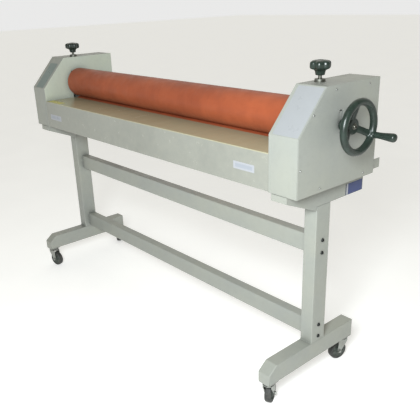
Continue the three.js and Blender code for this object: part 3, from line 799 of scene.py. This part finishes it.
def make_rollers():
    """The two rubber sleeves, with small rounded ends."""
    rubber, rings = 11.8 * MM, 16
    for word, body in (("upper", "upper_roller"), ("lower", "lower_roller")):
        name = f"{word}_roller_cover"
        low, high = node_box(name)
        middle = (low + high) / 2
        radius = (high.z - low.z) / 2
        bore = radius - rubber
        half = (high.x - low.x) / 2
        profile = [
            (bore, -half),
            (radius - 2 * MM, -half),
            (radius - 0.6 * MM, -half + 0.6 * MM),
            (radius, -half + 2 * MM),
        ]
        profile += [(radius, -half + 2 * half * i / rings) for i in range(1, rings)]
        profile += [
            (radius, half - 2 * MM),
            (radius - 0.6 * MM, half - 0.6 * MM),
            (radius - 2 * MM, half),
            (bore, half),
        ]
        bm = bmesh.new()
        add_tube(bm, profile, middle, X, 144)
        finish_mesh(f"{name}_finish", bm, RUBBER, body, (name,))


def make_handwheel():
    """The wheel as one moulding: rim, hub and dished spokes melted together."""
    low, high = node_box("handwheel")
    centre = UPPER_AXIS.copy()
    outer = (high.z - low.z) / 2
    section = 12 * MM
    ring_radius = outer - section
    cover_face = node_box("side_cover_right")[1].x
    rim_x = cover_face + 69 * MM
    hub_start = cover_face + 5 * MM
    hub_end = cover_face + 52 * MM
    crank = joint_named("crank_handle_turn")["pos_m"]
    crank_angle = math.atan2(crank[2] - centre.z, crank[1] - centre.y)
    bm = bmesh.new()
    add_rim(bm, Vector((rim_x, centre.y, centre.z)), ring_radius, section)
    axis_point = Vector((0, centre.y, centre.z))
    hub = [
        (17 * MM, hub_start),
        (20 * MM, hub_start + 2 * MM),
        (20 * MM, hub_start + 21 * MM),
        (26 * MM, hub_start + 28 * MM),
        (26 * MM, hub_end - 3 * MM),
        (23.5 * MM, hub_end),
    ]
    add_turned(bm, hub, axis_point, X, 64)
    for i in range(3):
        add_spoke(bm, centre, crank_angle + 2 * math.pi * i / 3, hub_end, rim_x, ring_radius)
    pin_axis = Vector((0, crank[1], crank[2]))
    grip_start = node_box("crank_grip")[0].x
    boss = [(12.5 * MM, rim_x), (11 * MM, grip_start - 2 * MM), (10.5 * MM, grip_start - 0.3 * MM)]
    add_turned(bm, boss, pin_axis, X, 40)
    piece = finish_mesh(
        "handwheel_finish", bm, PHENOLIC, "upper_roller", ("handwheel",), weighted=False
    )
    melt(piece, 1.5 * MM, 7)
    bm = bmesh.new()
    add_turned(bm, [(5 * MM, grip_start - 2 * MM), (5 * MM, high.x)], pin_axis, X, 24)
    finish_mesh("grip_pin", bm, ZINC, "upper_roller")
    make_hub_screw(centre, hub_end)


def add_rim(bm, centre, ring_radius, section, steps=96, corners=28):
    rings = []
    for i in range(steps):
        angle = 2 * math.pi * i / steps
        out = Vector((0, math.cos(angle), math.sin(angle)))
        ring = []
        for k in range(corners):
            turn = 2 * math.pi * k / corners
            reach = ring_radius + section * math.cos(turn)
            ring.append(centre + out * reach + X * section * math.sin(turn))
        rings.append(ring)
    rows = loft(bm, rings, False, False)
    close_loop(bm, rows)


def add_spoke(bm, centre, angle, hub_end, rim_x, ring_radius, steps=10, corners=20):
    """A spoke that swells where it joins the hub and the rim."""
    out = Vector((0, math.cos(angle), math.sin(angle)))
    across = Vector((0, -math.sin(angle), math.cos(angle)))
    start = Vector((hub_end - 10 * MM, centre.y, centre.z)) + out * 12 * MM
    end = Vector((rim_x - 1 * MM, centre.y, centre.z)) + out * ring_radius
    depth = out.cross(across)
    rings = []
    for i in range(steps + 1):
        t = i / steps
        swell = (2 * t - 1) ** 4
        half_width = (11.5 + 6.0 * swell) * MM
        half_depth = (5.8 + 1.8 * swell) * MM
        middle = start.lerp(end, t)
        ring = []
        for k in range(corners):
            turn = 2 * math.pi * k / corners
            sideways = across * half_width * math.cos(turn)
            ring.append(middle + sideways + depth * half_depth * math.sin(turn))
        rings.append(ring)
    loft(bm, rings)


def melt(piece, voxel, rounds):
    """Joins a piece's overlapping shapes into one skin with soft hollows between them."""
    remesh = piece.modifiers.new("one_skin", "REMESH")
    remesh.mode = "VOXEL"
    remesh.voxel_size = voxel
    remesh.use_smooth_shade = True
    smooth = piece.modifiers.new("soft_hollows", "SMOOTH")
    smooth.factor = 0.5
    smooth.iterations = rounds
    depsgraph = bpy.context.evaluated_depsgraph_get()
    mesh = bpy.data.meshes.new_from_object(piece.evaluated_get(depsgraph))
    piece.modifiers.clear()
    old = piece.data
    piece.data = mesh
    bpy.data.meshes.remove(old)
    mesh.shade_smooth()


def make_hub_screw(centre, hub_end):
    """The dull steel screw and washer in the middle of the handwheel."""
    seat = Vector((hub_end, centre.y, centre.z))
    bm = bmesh.new()
    washer = [(10 * MM, -0.5 * MM), (10 * MM, 1.2 * MM), (9.4 * MM, 1.8 * MM)]
    add_turned(bm, washer, seat, X, 40)
    add_screw(bm, seat + X * 1.8 * MM, X, 7.5 * MM, 36)
    finish_mesh("hub_screw", bm, DULL_STEEL, "upper_roller", weighted=False)


def make_crank_grip():
    low, high = node_box("crank_grip")
    middle = (low + high) / 2
    origin = Vector((0, middle.y, middle.z))
    start, end = low.x, high.x
    shape = [
        (0.0, 8.6), (0.4, 9.4), (1.6, 10.0), (4, 10.3), (8, 10.2), (14, 10.0), (22, 10.4), (32, 11.2),
        (42, 12.2), (52, 13.2), (60, 13.9), (65, 13.9), (68.5, 13.0), (71, 11.2), (72.8, 8.4), (73.8, 4.6),
    ]
    profile = [(6 * MM, start)] + [(r * MM, start + d * MM) for d, r in shape] + [(1 * MM, end)]
    bm = bmesh.new()
    add_turned(bm, profile, origin, X, 56)
    finish_mesh(
        "crank_grip_finish", bm, PHENOLIC, "crank_handle", ("crank_grip",),
        sharp=60, weighted=False,
    )


def make_slot_shutter():
    """The plate that rides up with the roller and closes the slot from inside."""
    inner_face = node_box("side_cover_right")[0].x
    middle = Vector((inner_face - 1.6 * MM, UPPER_AXIS.y, UPPER_AXIS.z))
    width, height, thickness, corner = 60 * MM, 84 * MM, 1.2 * MM, 4 * MM
    bm = bmesh.new()
    add_plate(bm, middle, Y, Z, X, width, height, thickness, corner)
    finish_mesh("slot_shutter", bm, PAINT, "roller_carriage", weighted=False)


# ------------------------------------------------------------- the pressure gear


def knob_radius(radius, distance, angle):
    """Six lobes on the head; the hub below it stays round."""
    if radius < 17.5 * MM and distance < 20 * MM:
        return radius
    depth = max(0.0, min(1.0, (radius - 15 * MM) / (15 * MM)))
    wave = math.cos(KNOB_LOBES * angle)
    return radius + depth * (2.0 * wave - 2.6 * (0.5 - 0.5 * wave) ** 3) * MM


def make_knobs():
    shape = [
        (12.5, 0.0), (14.2, 0.6), (15.0, 2.0), (15.6, 7.0), (17.0, 12.0), (18.6, 14.5), (21.0, 17.0),
        (26.0, 18.8), (30.0, 20.6), (32.0, 23.2), (32.8, 27.0), (32.9, 33.0), (32.6, 38.0), (31.2, 41.0),
        (28.0, 43.4), (22.5, 45.2), (15.0, 46.5), (9.5, 47.2), (9.0, 46.9), (8.6, 46.4), (4.0, 46.5),
    ]
    profile = [(r * MM, d * MM) for r, d in shape]
    for word, side in SIDES:
        low, high = node_box(f"pressure_knob_{word}")
        middle = (low + high) / 2
        origin = Vector((middle.x, middle.y, low.z))
        bm = bmesh.new()
        add_turned(bm, profile, origin, Z, 120, knob_radius)
        finish_mesh(
            f"pressure_knob_{word}_finish", bm, PHENOLIC, f"knob_{word}",
            (f"pressure_knob_{word}",), sharp=50, weighted=False,
        )
        make_bridge_nut(word, middle)


def make_bridge_nut(word, middle):
    """A washer and a collar round the boss of the screw bridge, where it leaves the roof."""
    top = node_box(f"screw_bridge_{word}")[1].z
    roof = node_box(f"shroud_{word}")[1].z
    origin = Vector((middle.x, middle.y, roof))
    bm = bmesh.new()
    flange = [(9, 0.1), (18.5, 0.1), (18.5, 1.8), (18, 2.3), (9, 2.3)]
    add_tube(bm, [(r * MM, d * MM) for r, d in flange], origin, Z, 40)
    rise = top - roof
    collar = [
        (16.1 * MM, 2.0 * MM),
        (17.1 * MM, 2.4 * MM),
        (17.1 * MM, rise - 0.6 * MM),
        (16.3 * MM, rise + 0.2 * MM),
        (6.6 * MM, rise + 0.2 * MM),
        (6.6 * MM, rise + 0.05 * MM),
        (16.1 * MM, rise + 0.05 * MM),
    ]
    add_tube(bm, collar, origin, Z, 40)
    finish_mesh(f"bridge_collar_{word}", bm, DULL_STEEL, "frame")


# ------------------------------------------------------------------- the casters


def make_casters():
    for name in CASTERS:
        make_caster_wheel(name)
        make_axle_nuts(name)
        rounded_node(f"caster_fork_{name}", FORK_STEEL, 0.8 * MM, lambda e: True, 0.0, 2)
        rounded_node(f"caster_plate_{name}", FORK_STEEL, 0.7 * MM, lambda e: True, 0.0, 2)
        make_plate_bolts(name)


def wheel_axis(name):
    joint = joint_named(f"wheel_{name}_turn")
    return Vector(joint["pos_m"]), Vector(joint["axis"]).normalized()


def make_caster_wheel(name):
    """A tyre on a ribbed plastic centre."""
    centre, axis = wheel_axis(name)
    radius = centre.z / MM - 0.02
    tyre = [
        (radius - 8.5, -10.6), (radius - 5.5, -12.0), (radius - 3.0, -11.8), (radius - 1.0, -9.8),
        (radius - 0.2, -6.5), (radius, -2.5), (radius, 2.5), (radius - 0.2, 6.5), (radius - 1.0, 9.8),
        (radius - 3.0, 11.8), (radius - 5.5, 12.0), (radius - 8.5, 10.6),
    ]
    bm = bmesh.new()
    add_tube(bm, [(r * MM, d * MM) for r, d in tyre], centre, axis, 72)
    finish_mesh(
        f"tyre_{name}", bm, TREAD, f"wheel_{name}", (f"caster_wheel_{name}",), weighted=False
    )
    rim = radius - 8.3
    core = [
        (5.4, -13.0), (10.4, -13.0), (11.0, -12.4), (11.4, -8.0), (rim - 4, -6.8), (rim - 2, -9.6),
        (rim, -10.0), (rim, 10.0), (rim - 2, 9.6), (rim - 4, 6.8), (11.4, 8.0), (11.0, 12.4),
        (10.4, 13.0), (5.4, 13.0),
    ]
    bm = bmesh.new()
    add_tube(bm, [(r * MM, d * MM) for r, d in core], centre, axis, 48)
    add_ribs(bm, centre, axis, 10.5 * MM, (rim - 2.5) * MM)
    finish_mesh(f"wheel_core_{name}", bm, WHEEL_CORE, f"wheel_{name}", weighted=False)


def add_ribs(bm, centre, axis, inner, outer, count=6):
    u, v = basis(axis)
    for i in range(count):
        angle = 2 * math.pi * i / count
        out = u * math.cos(angle) + v * math.sin(angle)
        side = axis.cross(out)
        for face in (-1, 1):
            rings = []
            for reach in (inner, outer):
                middle = centre + out * reach + axis * face * 7.5 * MM
                corners = ((-1.3, -2), (1.3, -2), (0.9, 2), (-0.9, 2))
                rings.append([middle + side * a * MM + axis * face * b * MM for a, b in corners])
            loft(bm, rings)


def make_axle_nuts(name):
    """The axle bolt's head and its nut, outside the fork's cheeks."""
    centre, axis = wheel_axis(name)

    def hexagon(r, distance, angle):
        return min(r, hexagon_reach(5.6 * MM, angle))

    bm = bmesh.new()
    for way in (-1, 1):
        seat = centre + axis * way * 17.5 * MM
        washer = [(7.4 * MM, 0.05 * MM), (7.4 * MM, 1.0 * MM), (6.9 * MM, 1.3 * MM)]
        add_turned(bm, washer, seat, axis * way, 32)
        nut = [(6.4 * MM, 1.3 * MM), (6.4 * MM, 4.6 * MM), (5.5 * MM, 5.3 * MM)]
        add_turned(bm, nut, seat, axis * way, 48, hexagon)
    finish_mesh(f"axle_nuts_{name}", bm, FORK_STEEL, f"swivel_{name}")


def make_plate_bolts(name):
    """Four bolts through each caster's plate."""
    low, high = node_box(f"caster_plate_{name}")
    middle = (low + high) / 2
    thickness, spread = 3 * MM, 18.5 * MM
    under = high.z - thickness
    bm = bmesh.new()
    for sx in (-1, 1):
        for sy in (-1, 1):
            seat = Vector((middle.x + sx * spread, middle.y + sy * spread, under))
            add_screw(bm, seat, -Z, 4.2 * MM)
    finish_mesh(f"plate_bolts_{name}", bm, ZINC, "frame", weighted=False)


# --------------------------------------------------------- the carried-over nodes


def dress_nodes():
    """Materials for the CAD nodes that stay as they are."""
    dressed = {
        "roller_core": TURNED,
        "block": TURNED,
        "bearing": TURNED,
        "screw_bridge": TURNED,
        "pressure_screw": DULL_STEEL,
        "pressure_spring": SPRING,
    }
    for name, node in frame["nodes"].items():
        for word, material in dressed.items():
            if word in name:
                node.data.materials.clear()
                node.data.materials.append(material)


# --------------------------------------------------------------------- the studio


def make_floor():
    bm = bmesh.new()
    half, drop = 30, 0.0006
    corners = ((-half, -half), (half, -half), (half, half), (-half, half))
    bm.faces.new([bm.verts.new((x, y, -drop)) for x, y in corners])
    mesh = bpy.data.meshes.new("studio_floor")
    bm.to_mesh(mesh)
    bm.free()
    mesh.materials.append(pale_floor())
    floor = bpy.data.objects.new("studio_floor", mesh)
    bpy.context.scene.collection.objects.link(floor)


def make_world():
    """A pale studio: bright behind the machine, dim behind the camera, warmest overhead."""
    world = bpy.data.worlds.new("studio")
    bpy.context.scene.world = world
    world.use_nodes = True
    nodes, links = world.node_tree.nodes, world.node_tree.links
    place = nodes.new("ShaderNodeTexCoord").outputs["Generated"]

    def ramp(direction, stops):
        dot = nodes.new("ShaderNodeVectorMath")
        dot.operation = "DOT_PRODUCT"
        links.new(place, dot.inputs[0])
        dot.inputs[1].default_value = direction
        node = nodes.new("ShaderNodeValToRGB")
        links.new(dot.outputs["Value"], node.inputs["Fac"])
        for element, (position, color) in zip(node.color_ramp.elements, stops):
            element.position = position
            element.color = (*color, 1)
        return node.outputs["Color"]

    around = ramp((-0.76, 0.65, 0), ((0.0, (0.22, 0.22, 0.205)), (0.8, (0.82, 0.82, 0.815))))
    overhead = ramp((0, 0, 1), ((0.05, (1.0, 1.0, 1.0)), (0.6, (1.20, 1.16, 1.04))))
    blend = nodes.new("ShaderNodeMix")
    blend.data_type = "RGBA"
    blend.blend_type = "MULTIPLY"
    blend.inputs[MIX_FACTOR].default_value = 1.0
    links.new(around, blend.inputs[MIX_A])
    links.new(overhead, blend.inputs[MIX_B])
    links.new(blend.outputs[MIX_RESULT], nodes["Background"].inputs["Color"])


def add_softbox(name, location, target, size, power, color):
    light = bpy.data.lights.new(name, "AREA")
    light.shape = "RECTANGLE"
    light.size, light.size_y = size
    light.energy = power
    light.color = color
    lamp = bpy.data.objects.new(name, light)
    lamp.location = location
    lamp.rotation_euler = (target - location).to_track_quat("-Z", "Y").to_euler()
    bpy.context.scene.collection.objects.link(lamp)


def make_lights():
    """One soft, slightly cool light above the camera, nearer to the handwheel end."""
    target = Vector((0.1, 0, 0.7))
    add_softbox("key_softbox", Vector((1.6, -1.6, 1.6)), target, (0.6, 0.6), 72, (0.92, 0.98, 1.0))


def make_camera():
    """The camera at the photograph's viewpoint, measured from the rollers and the floor."""
    machine = Vector((ROLLER.x, ROLLER.y, 0))
    from_machine = Vector((1.9352, -1.4728, 1.3710))
    azimuth, elevation, roll = (math.radians(a) for a in (50.0, 21.53, -2.18))
    data = bpy.data.cameras.new("camera")
    data.sensor_width = 36
    data.lens = 48.44
    data.shift_x = 0.0223
    data.shift_y = 0.0233
    data.clip_end = 100
    camera = bpy.data.objects.new("camera", data)
    camera.location = machine + from_machine
    flat = math.cos(elevation)
    back = Vector((math.sin(azimuth) * flat, -math.cos(azimuth) * flat, math.sin(elevation)))
    level = Vector((math.cos(azimuth), math.sin(azimuth), 0))
    rise = back.cross(level)
    right = level * math.cos(roll) + rise * math.sin(roll)
    up = rise * math.cos(roll) - level * math.sin(roll)
    camera.rotation_euler = Matrix((right, up, back)).transposed().to_euler()
    bpy.context.scene.collection.objects.link(camera)
    bpy.context.scene.camera = camera


bpy.context.scene.view_settings.view_transform = "Standard"
make_camera()
make_stand()
make_rail_bolts()
make_housings()
make_tables()
make_labels()
make_rollers()
make_handwheel()
make_crank_grip()
make_slot_shutter()
make_knobs()
make_casters()
dress_nodes()
make_floor()
make_world()
make_lights()
